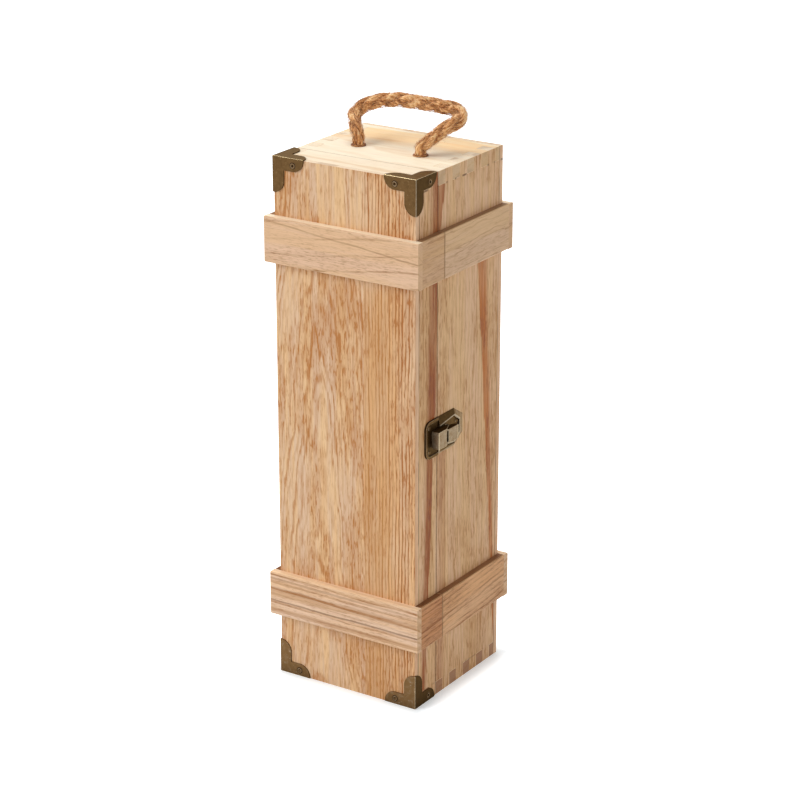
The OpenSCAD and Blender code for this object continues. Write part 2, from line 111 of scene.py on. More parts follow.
# ---------- mesh helpers ----------


def only(piece):
    """Makes a piece the one that operators act on."""
    bpy.ops.object.select_all(action="DESELECT")
    piece.select_set(True)
    bpy.context.view_layer.objects.active = piece


def mesh_piece(name, points, faces):
    mesh = bpy.data.meshes.new(name)
    mesh.from_pydata([tuple(p) for p in points], [], faces)
    mesh.update()
    piece = bpy.data.objects.new(name, mesh)
    bpy.context.scene.collection.objects.link(piece)
    return piece


def merged_copy(node):
    """A copy of a CAD node's mesh with its doubles merged and its flat faces whole again."""
    piece = bpy.data.objects.new(node + "_dressed", frame["nodes"][node].data.copy())
    bpy.context.scene.collection.objects.link(piece)
    only(piece)
    bpy.ops.object.mode_set(mode="EDIT")
    bpy.ops.mesh.select_all(action="SELECT")
    bpy.ops.mesh.remove_doubles(threshold=2e-6)
    bpy.ops.mesh.dissolve_limited(angle_limit=math.radians(0.5))
    bpy.ops.object.mode_set(mode="OBJECT")
    piece.data.materials.clear()
    return piece


def pick_faces(piece, wanted):
    """Opens a piece for editing with only its wanted faces selected."""
    bpy.ops.object.mode_set(mode="EDIT")
    bpy.ops.mesh.select_mode(type="FACE")
    bpy.ops.mesh.select_all(action="DESELECT")
    bpy.ops.object.mode_set(mode="OBJECT")
    for face in piece.data.polygons:
        face.select = wanted(face)
    bpy.ops.object.mode_set(mode="EDIT")


def joined(pieces, name):
    """One piece made of several, with its origin at the box's."""
    for piece in pieces:
        piece.select_set(True)
    bpy.context.view_layer.objects.active = pieces[0]
    bpy.ops.object.join()
    whole = bpy.context.object
    whole.name = name
    bpy.ops.object.origin_set(type="ORIGIN_CURSOR")
    return whole


def ease_edges(piece, width, steps=2, weight=None):
    """Rounds the sharp edges, and tells the new narrow faces apart in the attribute 'edge'."""
    bevel = piece.modifiers.new("eased", "BEVEL")
    bevel.width = width
    bevel.segments = steps
    bevel.miter_outer = "MITER_ARC"
    bevel.use_clamp_overlap = True
    bevel.material = 1
    if weight is None:
        bevel.limit_method = "ANGLE"
        bevel.angle_limit = math.radians(35)
    else:
        bevel.limit_method = "WEIGHT"
        weights = piece.data.attributes.new("bevel_weight_edge", "FLOAT", "EDGE")
        for edge in piece.data.edges:
            weights.data[edge.index].value = weight(piece, edge)
    for _ in range(2):
        piece.data.materials.append(None)
    only(piece)
    bpy.ops.object.modifier_apply(modifier=bevel.name)
    bpy.ops.object.shade_smooth_by_angle(angle=math.radians(38))
    normals = piece.modifiers.new("even", "WEIGHTED_NORMAL")
    normals.keep_sharp = True
    bpy.ops.object.modifier_apply(modifier=normals.name)
    mark_faces(piece, "edge", lambda face: 1.0 if face.material_index == 1 else 0.0)
    for face in piece.data.polygons:
        face.material_index = 0
    piece.data.materials.clear()


def mark_faces(piece, name, value_of):
    """Writes a number for each face, kept at its corners so that it ends sharply at the face's edge."""
    attribute = piece.data.attributes.get(name) or piece.data.attributes.new(name, "FLOAT", "CORNER")
    for face in piece.data.polygons:
        value = value_of(face)
        for loop in face.loop_indices:
            attribute.data[loop].value = value


def dress(piece, node, material):
    """The finished piece stands for its node, on the node's body."""
    piece.data.materials.append(material)
    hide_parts(node)
    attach(piece, frame["nodes"][node]["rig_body"])
    return piece


# ---------- node helpers ----------


def wire(source, target):
    """Wires a socket, or sets a plain value, on a node's input."""
    if isinstance(source, bpy.types.NodeSocket):
        target.id_data.links.new(source, target)
    elif source is not None:
        target.default_value = source


def set_inputs(node, **values):
    """Wires or sets a node's inputs. An underscore in a name stands for a space."""
    for label, value in values.items():
        wire(value, node.inputs[label.replace("_", " ")])
    return node


def new_node(kind, *sources):
    """A new node in the tree of the first socket among its sources."""
    tree = next(source.id_data for source in sources if isinstance(source, bpy.types.NodeSocket))
    return tree.nodes.new("ShaderNode" + kind)


def maths(operation, a, b=None, c=None, clamp=False):
    node = new_node("Math", a, b, c)
    node.operation = operation
    node.use_clamp = clamp
    for value, target in zip((a, b, c), node.inputs):
        wire(value, target)
    return node.outputs[0]


def plus(a, b):
    return maths("ADD", a, b)


def minus(a, b):
    return maths("SUBTRACT", a, b)


def times(a, b):
    return maths("MULTIPLY", a, b)


def times_plus(a, gain, base, clamp=False):
    return maths("MULTIPLY_ADD", a, gain, base, clamp)


def varied(base, by, gain, clamp=False):
    """A base that goes up and down with something that runs about 0.5."""
    return times_plus(minus(by, 0.5), gain, base, clamp)


def unsigned(a):
    return maths("ABSOLUTE", a)


def vector_maths(operation, a, b=None):
    node = new_node("VectorMath", a, b)
    node.operation = operation
    for value, target in zip((a, b), node.inputs):
        wire(value, target)
    return node.outputs["Value" if operation in ("LENGTH", "DOT_PRODUCT") else "Vector"]


def facing(normal, direction):
    """1 where the normal points along the direction, and -1 where it points back."""
    return vector_maths("DOT_PRODUCT", normal, tuple(direction))


def stretched(vector, scale):
    return vector_maths("MULTIPLY", vector, scale)


def scaled(vector, size):
    node = new_node("VectorMath", vector)
    node.operation = "SCALE"
    wire(vector, node.inputs[0])
    wire(size, node.inputs["Scale"])
    return node.outputs[0]


def parts_of(vector):
    node = new_node("SeparateXYZ", vector)
    wire(vector, node.inputs[0])
    return node.outputs


def vector_of(*parts):
    node = new_node("CombineXYZ", *parts)
    for part, target in zip(parts, node.inputs):
        wire(part, target)
    return node.outputs[0]


def mapped(vector, scale, rotation=(0, 0, 0), location=(0, 0, 0)):
    node = set_inputs(new_node("Mapping", vector), Vector=vector, Scale=scale, Rotation=rotation,
                      Location=location)
    return node.outputs[0]


def noise(vector, scale=1.0, detail=2.0, roughness=0.5, channel="Fac"):
    """A scale of three numbers stretches the noise along the vector's axes."""
    if isinstance(scale, tuple):
        vector, scale = stretched(vector, scale), 1.0
    node = set_inputs(new_node("TexNoise", vector), Vector=vector, Scale=scale, Detail=detail,
                      Roughness=roughness)
    return node.outputs[channel]


def smooth(value, low, high, to_low=0.0, to_high=1.0):
    """Runs smoothly from to_low to to_high as the value goes from low to high."""
    node = new_node("MapRange", value)
    node.interpolation_type = "SMOOTHSTEP"
    set_inputs(node, Value=value, From_Min=low, From_Max=high, To_Min=to_low, To_Max=to_high)
    return node.outputs["Result"]


def ramp(value, *stops):
    """The colour at a value, from stops that each have a place and a colour."""
    node = new_node("ValToRGB", value)
    elements = node.color_ramp.elements
    elements[0].position, elements[0].color = stops[0]
    elements[1].position, elements[1].color = stops[-1]
    for place, colour in stops[1:-1]:
        elements.new(place).color = colour
    wire(value, node.inputs[0])
    return node.outputs[0]


def blend_colours(share, a, b, how="MIX"):
    node = new_node("Mix", share, a, b)
    node.data_type = "RGBA"
    node.blend_type = how
    node.clamp_factor = True
    for source, at in ((share, 0), (a, 6), (b, 7)):
        wire(source, node.inputs[at])
    return node.outputs[2]


def new_group(name, inputs, outputs):
    """A group. An input's default is a number, a colour, or None for a vector."""
    tree = bpy.data.node_groups.new(name, "ShaderNodeTree")
    for label, value in inputs.items():
        kind = "Vector" if value is None else "Color" if isinstance(value, tuple) else "Float"
        socket = tree.interface.new_socket(label, in_out="INPUT", socket_type="NodeSocket" + kind)
        if value is not None:
            socket.default_value = value
    for label in outputs:
        kind = "Color" if label == "Color" else "Float"
        tree.interface.new_socket(label, in_out="OUTPUT", socket_type="NodeSocket" + kind)
    start = tree.nodes.new("NodeGroupInput")
    end = tree.nodes.new("NodeGroupOutput")
    return tree, start.outputs, end.inputs


def use_group(group, **values):
    node = new_node("Group", *values.values())
    node.node_tree = group
    return set_inputs(node, **values).outputs


def paint(red, green, blue):
    """A colour given in the usual 0 to 255 steps, as the linear colour that a shader takes."""
    def linear(step):
        share = step / 255
        return share / 12.92 if share <= 0.04045 else ((share + 0.055) / 1.055) ** 2.4
    return (linear(red), linear(green), linear(blue), 1)


def new_material(name):
    material = bpy.data.materials.new(name)
    material.use_nodes = True
    tree = material.node_tree
    return material, tree, tree.nodes["Principled BSDF"]


def painted(tree, name):
    """The number that a piece's faces or points hold under this name."""
    node = tree.nodes.new("ShaderNodeAttribute")
    node.attribute_name = name
    return node.outputs["Fac"]


def bumps(height, distance, strength):
    node = set_inputs(new_node("Bump", height), Height=height, Distance=distance, Strength=strength)
    return node.outputs["Normal"]


# ---------- shared effects ----------


def make_pine_figure():
    """Year rings, fibre and flecks of a pine log. Vector is in mm, with its Z along the grain."""
    tree, given, out = new_group(
        "pine figure",
        {"Vector": None, "Ring width": 3.0, "Heart x": 0.0, "Heart y": -30.0, "Taper": 0.0,
         "Wander": 3.0, "Line width": 0.34, "Jag": 3.0, "Waver": 3.8, "Rings": 0.6, "Fineness": 1.0,
         "Fibre": 0.4, "Flecks": 0.3, "Clouds": 0.3, "Pale": paint(228, 190, 152),
         "Rose": paint(224, 190, 162), "Dark": paint(176, 120, 72)},
        ["Color", "Height"])
    grain = given["Vector"]
    drift = noise(grain, (0.03, 0.03, 0.011), channel="Color")
    drift = vector_maths("SUBTRACT", drift, (0.5, 0.5, 0.5))
    drift = scaled(stretched(drift, (1, 1, 0)), given["Wander"])
    heart = vector_of(given["Heart x"], given["Heart y"])
    from_heart = vector_maths("ADD", stretched(grain, (1, 1, 0)), drift)
    from_heart = vector_maths("SUBTRACT", from_heart, heart)
    fibre = noise(grain, (1.5, 1.5, 0.055), detail=3, roughness=0.6)
    waver = noise(grain, (0.16, 0.16, 0.03))
    reach = times_plus(waver, given["Waver"], vector_maths("LENGTH", from_heart))
    reach = times_plus(fibre, given["Jag"], reach)
    rings = maths("DIVIDE", reach, given["Ring width"])
    rings = times_plus(parts_of(grain)[2], given["Taper"], rings)
    share = maths("FRACT", rings)
    line_start = times_plus(given["Line width"], -2.0, 0.94)
    line_full = times_plus(given["Line width"], -0.6, 0.94)
    late = times(smooth(share, line_start, line_full), smooth(share, 1.0, 0.94))
    each = noise(stretched(maths("FLOOR", rings), (7.13, 3.7, 1.9)), detail=0)
    late = times(late, smooth(each, 0.35, 0.62, 0.45, 1.0))
    broken = noise(grain, (0.35, 0.35, 0.025), detail=3)
    late = times(late, smooth(broken, 0.36, 0.56, 0.3, 1.0))
    cloud = noise(grain, (0.05, 0.05, 0.016), detail=3, roughness=0.55)
    cloud = varied(cloud, fibre, 0.22)
    cloud = smooth(cloud, 0.38, 0.66)
    dash = noise(scaled(stretched(grain, (0.95, 0.95, 0.13)), given["Fineness"]), roughness=0.6)
    fleck = times(smooth(dash, 0.5, 0.64), smooth(cloud, 0.0, 0.6, 0.45, 1.0))
    tone = times(late, given["Rings"])
    tone = times_plus(minus(fibre, 0.42), given["Fibre"], tone)
    tone = times_plus(fleck, given["Flecks"], tone)
    tone = times_plus(cloud, given["Clouds"], tone, clamp=True)
    hue = noise(grain, (0.1, 0.1, 0.006), detail=3, roughness=0.6)
    hue = smooth(times_plus(fibre, 0.16, hue), 0.46, 0.68)
    pale = blend_colours(hue, given["Pale"], given["Rose"])
    wire(blend_colours(tone, pale, given["Dark"]), out["Color"])
    rough = times_plus(fleck, -0.5, fibre)
    wire(times_plus(late, 0.25, rough), out["Height"])
    return tree


STREAK_FADE = 14.0                      # mm over which a streak fades at its upper end


def make_heart_streak():
    """A streak of heartwood along the grain, crisp on one side and soft on the other."""
    tree, given, out = new_group(
        "heart streak",
        {"Vector": None, "Centre": 0.0, "Half": 3.0,
         "Lean": 0.0, "Widening": 0.0, "Sway": 3.0,
         "Crisp": -1.0, "To": 1000.0},
        ["Mask"])
    across, _, along = parts_of(given["Vector"])
    sway = noise(given["Vector"], (0, 0, 0.014), detail=3)
    middle = varied(given["Centre"], sway, given["Sway"])
    middle = times_plus(along, given["Lean"], middle)
    ragged = noise(given["Vector"], (0.7, 0.7, 0.03), detail=3)
    reach = times_plus(along, given["Widening"], given["Half"])
    reach = times(reach, smooth(ragged, 0.25, 0.7, 0.8, 1.2))
    off = maths("DIVIDE", minus(across, middle), reach)
    off = times(off, given["Crisp"])
    mask = times(smooth(off, -1.4, -0.2), smooth(off, 1.04, 0.94))
    lines = noise(given["Vector"], (0.8, 0.8, 0.014), detail=3)
    mask = times(mask, smooth(lines, 0.34, 0.6, 0.66, 1.0))
    fading = noise(given["Vector"], (0.1, 0.1, 0.03), detail=1)
    mask = times(mask, smooth(fading, 0.35, 0.6, 0.84, 1.0))
    fade_out = smooth(along, given["To"], minus(given["To"], STREAK_FADE))
    wire(times(mask, fade_out), out["Mask"])
    return tree


def make_end_grain():
    """Tints the faces that are cut across the grain. Across is how far a face turns to the grain."""
    tree, given, out = new_group(
        "end grain",
        {"Color": (1, 1, 1, 1), "Vector": None, "Across": 0.0, "Depth": 0.5, "Tint": paint(196, 156, 112)},
        ["Color"])
    share = times(smooth(given["Across"], 0.6, 0.85), given["Depth"])
    pores = noise(given["Vector"], scale=1.6, detail=3)
    cut = noise(given["Vector"], scale=0.075, detail=0)
    tint = blend_colours(smooth(pores, 0.35, 0.7, 0.0, 0.24), given["Tint"], paint(150, 100, 58))
    tint = blend_colours(smooth(cut, 0.55, 0.68, 0.0, 0.34), tint, paint(140, 92, 54))
    wire(blend_colours(share, given["Color"], tint), out["Color"])
    return tree


def make_joint_lines():
    """Dark lines where the box was sawn into its two halves and where finger ends stop short."""
    tree, given, out = new_group(
        "joint lines", {"Vector": None, "Normal": None}, ["Mask"])
    across, depth, height = parts_of(given["Vector"])
    ragged = noise(given["Vector"], scale=0.5)
    off = unsigned(minus(depth, SEAM / MM))
    saw_cut = times(smooth(off, 0.85, 0.35), smooth(ragged, 0.3, 0.6, 0.66, 1.0))
    frontal = unsigned(facing(given["Normal"], Y))
    saw_cut = times(saw_cut, smooth(frontal, 0.8, 0.5))
    upward = facing(given["Normal"], Z)
    saw_cut = times(saw_cut, smooth(upward, 0.5, 0.8, 1.0, 0.6))
    to_notch = maths("MINIMUM", unsigned(minus(height, BOARD_T / MM)),
                     unsigned(minus(height, (BOX_TOP - BOARD_T) / MM)))
    aside = unsigned(across)
    outside = maths("GREATER_THAN", aside, BOX_SIDE / MM - 0.4)
    gaps = noise(given["Vector"], (0.12, 0.14, 0.05), detail=1)
    notch = times(smooth(to_notch, 0.8, 0.4), smooth(gaps, 0.54, 0.64))
    notch = times(notch, smooth(height, 60.0, 200.0, 0.4, 1.0))
    to_panel = minus(unsigned(depth), PANEL_IN / MM)
    glue = times(smooth(unsigned(to_panel), 0.7, 0.3),
                 smooth(gaps, 0.35, 0.6, 0.25, 0.7))
    glue = times(glue, maths("LESS_THAN", aside, BOX_SIDE / MM + 0.6))
    inlaid = times(maths("MAXIMUM", notch, glue), outside)
    wire(maths("MAXIMUM", saw_cut, inlaid), out["Mask"])
    return tree


def make_patina():
    """Dark lacquered brass: mottled, tarnished where its brightness input is low and bright where it is
    high, from wear and from painted sheen.
    """
    tree, given, out = new_group(
        "brass patina",
        {"Vector": None, "Polish": 0.35},
        ["Color", "Roughness", "Height"])
    mottle = noise(given["Vector"], scale=0.42, detail=4, roughness=0.6)
    grit = noise(given["Vector"], scale=2.6, detail=3, roughness=0.6)
    scratch = noise(stretched(given["Vector"], (0.35, 2.4, 0.5)), scale=1.6)
    rub_and_sheen = varied(given["Polish"], mottle, 0.22)
    rub_and_sheen = varied(rub_and_sheen, grit, 0.16)
    rub_and_sheen = times_plus(smooth(scratch, 0.64, 0.74), 0.1, rub_and_sheen, clamp=True)
    shade = ramp(rub_and_sheen, (0.0, paint(34, 20, 8)), (0.2, paint(66, 46, 22)), (0.42, paint(106, 80, 50)),
                 (0.56, paint(144, 131, 113)), (0.72, paint(182, 167, 145)), (1.0, paint(255, 230, 178)))
    wire(shade, out["Color"])
    wire(smooth(rub_and_sheen, 0.0, 1.0, 0.52, 0.26), out["Roughness"])
    wire(times_plus(grit, 0.5, mottle), out["Height"])
    return tree


FIBRES_ROUND = 7.0                      # how fine the fibres are round a strand


def make_twisted_fibre():
    """Jute yarn on a strand. Vector has its X along the strand in mm and its Y round it in turns."""
    tree, given, out = new_group(
        "jute fibre",
        {"Vector": None, "Hollow": 0.0},
        ["Color", "Height"])
    along, turns, _ = parts_of(given["Vector"])
    angle = times(times_plus(along, -0.055, turns), 2 * math.pi)
    ring = vector_of(times(maths("COSINE", angle), FIBRES_ROUND),
                     times(maths("SINE", angle), FIBRES_ROUND), times(along, 0.16))
    fibres = noise(ring, detail=4, roughness=0.65)
    clumps = noise(ring, (0.4, 0.4, 3.0), detail=3)
    patches = noise(ring, (0.12, 0.12, 0.5))
    tone = varied(0.54, fibres, 1.9)
    tone = varied(tone, clumps, 2.2)
    tone = varied(tone, patches, 2.1)
    # Hollow darkens the yarn: painted shade in the crevices between strands, and a darker tone near the
    # rope's feet.
    tone = times_plus(given["Hollow"], -0.5, tone, clamp=True)
    shade = ramp(tone, (0.0, paint(118, 66, 28)), (0.3, paint(190, 124, 70)),
                 (0.62, paint(234, 174, 114)), (1.0, paint(255, 222, 168)))
    wire(shade, out["Color"])
    wire(fibres, out["Height"])
    return tree


PINE_FIGURE = make_pine_figure()
HEART_STREAK = make_heart_streak()
END_GRAIN = make_end_grain()
JOINT_LINES = make_joint_lines()
PATINA = make_patina()
TWISTED_FIBRE = make_twisted_fibre()


# ---------- finishes ----------

QUARTER = math.pi / 2
IN_MM = (1 / MM, 1 / MM, 1 / MM)
# How a board's own grain frame turns from the box's frame: X across its face, Y through it, Z along it
GRAIN_TURNS = {
    "panel": (0, 0, 0), "side": (0, 0, QUARTER), "end": (0, QUARTER, QUARTER),
    "cross_band": (0, QUARTER, 0), "side_band": (QUARTER, 0, QUARTER)}
GRAIN_AXES = {"panel": Z, "side": Z, "end": X, "cross_band": X, "side_band": Y}


def streak(strength, tint, how="MIX", **line):
    """A streak for a board to carry; line says where on the board it runs, in mm."""
    return strength, tint, how, line


def pine(name, lie, shift, tones, streaks=(), end_depth=0.5, end_tint=(196, 156, 112),
         rim_depth=0.0, top_shade=0.0, top_tone=(112, 72, 42), **figure):
    """Sanded pine. lie is how the board's grain runs, and shift (mm) says which part of the log it is."""
    material, tree, shader = new_material(name)
    place = tree.nodes.new("ShaderNodeTexCoord")
    normal = place.outputs["Normal"]
    grain = mapped(place.outputs["Object"], IN_MM, GRAIN_TURNS[lie], shift)
    pale, rose, dark = (paint(*tone) for tone in tones)
    wood = use_group(PINE_FIGURE, Vector=grain, Pale=pale, Rose=rose, Dark=dark, **figure)
    colour = wood["Color"]
    for strength, tint, how, line in streaks:
        mask = use_group(HEART_STREAK, Vector=grain, **line)["Mask"]
        colour = blend_colours(times(mask, strength), colour, tint, how)
    turned = unsigned(facing(normal, GRAIN_AXES[lie]))
    colour = use_group(END_GRAIN, Color=colour, Vector=grain, Across=turned, Depth=end_depth,
                       Tint=paint(*end_tint))["Color"]
    if rim_depth:
        rim = smooth(unsigned(facing(normal, X)), 0.6, 0.85, 0.0, rim_depth)
        colour = blend_colours(rim, colour, paint(226, 186, 150))
    # Painted light on upward faces: painted shade on the side bands' tops beside the box's wall, and a
    # painted highlight on the cross bands' tops.
    if top_shade:
        upward = smooth(facing(normal, Z), 0.7, 0.95, 0.0, top_shade)
        colour = blend_colours(upward, colour, paint(*top_tone))
    # Painted highlight: eased edges blend toward pale cream.
    colour = blend_colours(times(painted(tree, "edge"), 0.3), colour, paint(250, 214, 168))
    lines = use_group(JOINT_LINES, Vector=mapped(place.outputs["Object"], IN_MM),
                      Normal=normal)["Mask"]
    colour = blend_colours(times(lines, 0.75), colour, paint(84, 50, 26))
    set_inputs(shader, Base_Color=colour, Roughness=smooth(wood["Height"], 0.2, 0.9, 0.5, 0.66),
               Specular_IOR_Level=0.14, Normal=bumps(wood["Height"], 0.12 * MM, 0.55))
    return material


def brass(name, rub_and_sheen=0.35):
    material, tree, shader = new_material(name)
    place = tree.nodes.new("ShaderNodeTexCoord")
    coat = use_group(PATINA, Vector=mapped(place.outputs["Object"], IN_MM),
                     Polish=plus(painted(tree, "rub_and_sheen"), rub_and_sheen))
    set_inputs(shader, Base_Color=coat["Color"], Roughness=coat["Roughness"], Metallic=0.9,
               Specular_IOR_Level=0.2, Specular_Tint=paint(240, 224, 200),
               Normal=bumps(coat["Height"], 0.06 * MM, 0.5))
    return material


def jute(name):
    material, tree, shader = new_material(name)
    along = tree.nodes.new("ShaderNodeUVMap")
    along.uv_map = "strand"
    yarn = use_group(TWISTED_FIBRE, Vector=mapped(along.outputs[0], (1 / MM, 1, 1)),
                     Hollow=painted(tree, "hollow"))
    set_inputs(shader, Base_Color=yarn["Color"], Roughness=0.85, Specular_IOR_Level=0.15,
               Sheen_Weight=0.25, Sheen_Roughness=0.5, Normal=bumps(yarn["Height"], 0.4 * MM, 0.9))
    return material


JUTE = jute("jute")


# ---------- rope handle ----------

ROPE_R = 4.5 * MM
ROPE_SPAN = 46 * MM
ROPE_LEAN = Vector((0, 0.73, -0.68))
LAY = -36 * MM                          # one turn of a strand round the rope, to the left
STRAND_R = 2.62 * MM
STRAND_OUT = 1.98 * MM                  # from the rope's middle to a strand's middle
YARNS = 7                               # yarns that show round a strand
FOOT_THIN = 0.16                        # share of its thickness that the rope loses in its holes
STEP = 0.7 * MM                         # between two rings of points along the handle
RISE = 1.5 * MM                         # straight run of the rope above each hole
COLLAR_R = 3.9 * MM                     # the ring of crushed fibres at each hole
ROPE_RUN = 159.5                        # mm of rope from end to end
# The middle line above the top of the box, from the left hole to the right one, in mm
ROPE_ROUTE = [
    (-23, 0, 5), (-25.5, 1.5, 9.5), (-30, 6, 13.5), (-33, 11.5, 17), (-30.5, 16.5, 20.5),
    (-25.5, 18.5, 23), (-19.5, 20, 25), (-13, 21, 26), (-6.5, 21.5, 27), (0, 21.5, 27),
    (6.5, 21.5, 27), (13, 21.5, 27), (19.5, 21.5, 27), (26.5, 22, 26.5), (33.5, 22.5, 26),
    (39.5, 20.5, 24), (41, 15.5, 21), (37.5, 11, 18.5), (33, 9, 15), (29, 6, 11.5),
    (26, 2.5, 8), (23, 0, 5)]


def smooth_line(points, spacing):
    """The curve through the points, as points that lie about a spacing apart."""
    ends = [2 * points[0] - points[1], *points, 2 * points[-1] - points[-2]]
    dense = []
    for p0, p1, p2, p3 in zip(ends, ends[1:], ends[2:], ends[3:]):
        for step in range(24):
            t = step / 24
            dense.append(p1 + (p2 - p0) * t / 2 + (2 * p0 - 5 * p1 + 4 * p2 - p3) * t ** 2 / 2
                         + (3 * p1 - p0 - 3 * p2 + p3) * t ** 3 / 2)
    dense.append(points[-1])
    run = [0.0]
    for a, b in zip(dense, dense[1:]):
        run.append(run[-1] + (b - a).length)
    count = round(run[-1] / spacing)
    line, at = [], 0
    for k in range(count + 1):
        want = run[-1] * k / count
        while at < len(run) - 2 and run[at + 1] < want:
            at += 1
        line.append(dense[at].lerp(dense[at + 1], (want - run[at]) / (run[at + 1] - run[at])))
    return line, run[-1]


def across_frames(line):
    """Two directions square to the line at each of its points, which turn as little as they can."""
    last = len(line) - 1
    headings = [(line[min(i + 1, last)] - line[max(i - 1, 0)]).normalized() for i in range(last + 1)]
    side = headings[0].cross(ROPE_LEAN).normalized()
    frames = []
    for heading in headings:
        side = (side - heading * side.dot(heading)).normalized()
        frames.append((side, heading.cross(side)))
    return frames


def laid_rope(name, line, length, radius_at=lambda share: 1.0, corners=26):
    """Three strands laid round a line, each with the ridges of its yarns, with 'strand' coordinates."""
    rng = random.Random(11)
    frames = across_frames(line)
    points, faces, run, round_at, hollows = [], [], [], [], []
    count = len(line)
    for strand in range(3):
        first = len(points)
        for i, (middle, (side, up)) in enumerate(zip(line, frames)):
            s = length * i / (count - 1)
            thick = radius_at(i / (count - 1))
            turn = 2 * math.pi * (strand / 3 + s / LAY)
            out = side * math.cos(turn) + up * math.sin(turn)
            around = -side * math.sin(turn) + up * math.cos(turn)
            centre = middle + out * STRAND_OUT * thick
            for k in range(corners):
                a = 2 * math.pi * k / corners
                ridge = 1 + 0.02 * math.cos(YARNS * (a - 2 * math.pi * s / (LAY * 0.7)))
                ridge += rng.uniform(-0.045, 0.045)
                reach = STRAND_R * thick * ridge
                points.append(centre + (out * math.cos(a) + around * math.sin(a)) * reach)
                run.append(s + strand * 0.37)
                round_at.append(k / corners)
                # Painted shade on the strand's inner side, in the crevices; darker still where the rope is
                # drawn thin at its feet, more on the right half.
                thin_foot_darkening = (1.4 if i < count / 2 else 2.2) * (1 - thick)
                hollows.append(max(0.0, abs(math.sin(a / 2)) * 1.9 - 0.95) / 0.95 + thin_foot_darkening)
        for i in range(count - 1):
            for k in range(corners):
                a, b = first + i * corners + k, first + i * corners + (k + 1) % corners
                faces.append((a, b, b + corners, a + corners))
        faces.append([first + k for k in reversed(range(corners))])
        faces.append([first + (count - 1) * corners + k for k in range(corners)])
    piece = mesh_piece(name, points, faces)
    layer = piece.data.uv_layers.new(name="strand")
    for face in piece.data.polygons:
        seam = any(round_at[piece.data.loops[i].vertex_index] > 0.9 for i in face.loop_indices)
        for i in face.loop_indices:
            vertex = piece.data.loops[i].vertex_index
            round_here = round_at[vertex] + (1 if seam and round_at[vertex] < 0.1 else 0)
            layer.data[i].uv = (run[vertex], round_here)
    hollow = piece.data.attributes.new("hollow", "FLOAT", "POINT")
    hollow.data.foreach_set("value", hollows)
    for face in piece.data.polygons:
        face.use_smooth = len(face.vertices) == 4
    piece.data.materials.append(JUTE)
    return piece


def foot_thickness(share):
    """The rope is drawn thinner where it is pulled down into its holes."""
    near = min(share, 1 - share) * ROPE_RUN
    eased = min(max((near - 13) / 24, 0), 1)
    return 1 - FOOT_THIN + FOOT_THIN * eased * eased * (3 - 2 * eased)


def make_handle():
    foot = BOARD_T * 0.8                # the handle's ends reach this deep into their holes
    above = BOX_TOP * Z
    route = [above + Vector(p) * MM for p in ROPE_ROUTE]
    left, right = (above + Vector((side * ROPE_SPAN / 2, 0, 0)) for side in (-1, 1))
    path, length = smooth_line([left - foot * Z, left - foot / 2 * Z, left + RISE * Z, *route,
                                right + RISE * Z, right - foot / 2 * Z, right - foot * Z], STEP)
    rope = laid_rope("rope", path, length, foot_thickness)
    return rope, path, length


def make_hairs(path, short, long, seed):
    """Loose fibres that stand off the rope: short ones all over, and long ones at its right foot."""
    rng = random.Random(seed)
    frames = across_frames(path)
    points, faces, run = [], [], []
    inner, outer = 15, len(path) - 16   # the points of the path that lie above the board
    for n in range(short + long):
        long_one = n >= short
        at = rng.randrange(outer - 44, outer - 6) if long_one else rng.randrange(inner, outer)
        side, up = frames[at]
        heading = side.cross(up)
        angle = rng.uniform(0, 2 * math.pi)
        normal = side * math.cos(angle) + up * math.sin(angle)
        if long_one and normal.z > 0.2:
            normal = -normal
        around = heading.cross(normal)
        reach = (rng.uniform(3, 8) if long_one else rng.uniform(1.0, 3.6)) * MM
        lift = rng.uniform(0.2, 1.0) if long_one else rng.choice((0.03, 0.06, 0.12, 0.2, 0.4))
        start = path[at] + normal * ROPE_R * rng.uniform(0.93, 1.0) * foot_thickness(at / (len(path) - 1))
        go = (heading * rng.choice((-1, 1)) * rng.uniform(0.5, 1.2) + normal * lift
              + around * rng.uniform(-0.9, 0.9)).normalized()
        curl = Vector([rng.uniform(-1, 1) for _ in range(3)]) * 0.5
        thin = rng.uniform(0.05, 0.1) * MM
        place, first, steps = start, len(points), 4
        for i in range(steps + 1):
            width = thin * (1 - 0.7 * i / steps)
            a = go.cross(Z if abs(go.z) < 0.9 else X).normalized()
            b = go.cross(a)
            for k in range(3):
                turn = 2 * math.pi * k / 3
                points.append(place + (a * math.cos(turn) + b * math.sin(turn)) * width)
                run.append((n * 0.00137 + reach * i / steps, (n % 17) / 17 + 0.02 * k))
            place = place + go * reach / steps
            go = (go + curl / steps + Vector([rng.uniform(-0.2, 0.2) for _ in range(3)])).normalized()
        for i in range(steps):
            for k in range(3):
                a, b = first + 3 * i + k, first + 3 * i + (k + 1) % 3
                faces.append((a, b, b + 3, a + 3))
        faces.append((first + 2, first + 1, first))
        faces.append((first + 3 * steps, first + 3 * steps + 1, first + 3 * steps + 2))
    hairs = mesh_piece("rope_hairs", points, faces)
    layer = hairs.data.uv_layers.new(name="strand")
    for loop in hairs.data.loops:
        layer.data[loop.index].uv = run[loop.vertex_index]
    hairs.data.materials.append(JUTE)
    return hairs


